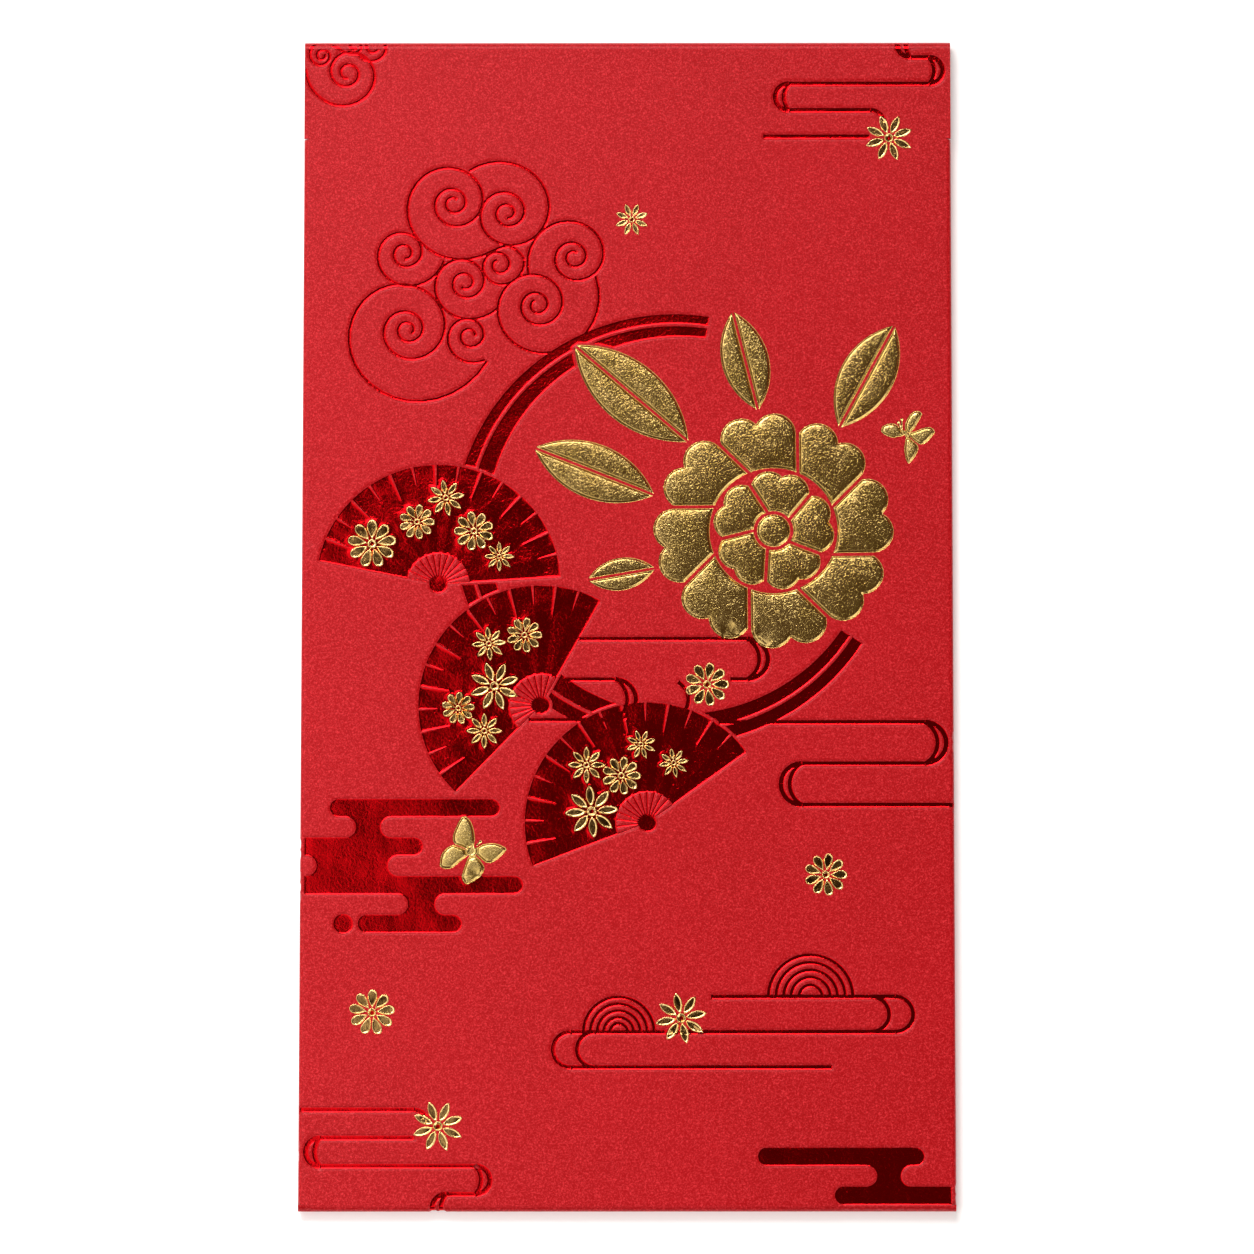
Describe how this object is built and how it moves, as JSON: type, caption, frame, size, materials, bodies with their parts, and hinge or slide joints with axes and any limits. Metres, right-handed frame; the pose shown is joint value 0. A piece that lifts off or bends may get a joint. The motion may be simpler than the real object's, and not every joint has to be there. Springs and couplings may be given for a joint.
{
  "type": "red envelope",
  "caption": "Tall folded paper packet for gift money: a glued pocket with a flap that folds over the back, its face stamped with red foil fans and raised gold flowers.",
  "frame": {"origin": "under the middle of the packet, on the surface that it lies on, face up and flap closed", "axes": "+X to the right of the face, +Y along the packet to the flap's fold, +Z out of the face"},
  "size_m": [0.09, 0.165, 0.0025],
  "materials": {
    "red_paper": "pearlescent",
    "red_foil": "metallic foil on paper",
    "gold_foil": "embossed gold foil on paper",
    "glue": "dry glue film"
  },
  "bodies": {
    "pocket": {"front_panel": "red_paper", "left_side_fold": "red_paper", "right_side_fold": "red_paper", "bottom_fold": "red_paper", "top_crease": "red_paper", "left_glue_tab": "red_paper", "right_glue_tab": "red_paper", "left_glue_strip": "glue", "right_glue_strip": "glue", "back_panel": "red_paper", "moon_ring_foil": "red_foil", "upper_fan_foil": "red_foil", "middle_fan_foil": "red_foil", "lower_fan_foil": "red_foil", "left_mist_foil": "red_foil", "corner_mist_foil": "red_foil", "peony_bloom_gold": "gold_foil", "peony_leaf_gold": "gold_foil", "loose_blossom_gold": "gold_foil", "fan_blossom_gold": "gold_foil", "butterfly_gold": "gold_foil"},
    "flap": {"top_flap": "red_paper"}
  },
  "joints": [
    {"name": "flap_fold", "type": "hinge", "parent": "pocket", "child": "flap", "pos_m": [0, 0.0814, 0.0011], "axis": [1, 0, 0], "range_deg": [0, 180], "deforming": ["top_crease"]}
  ]
}
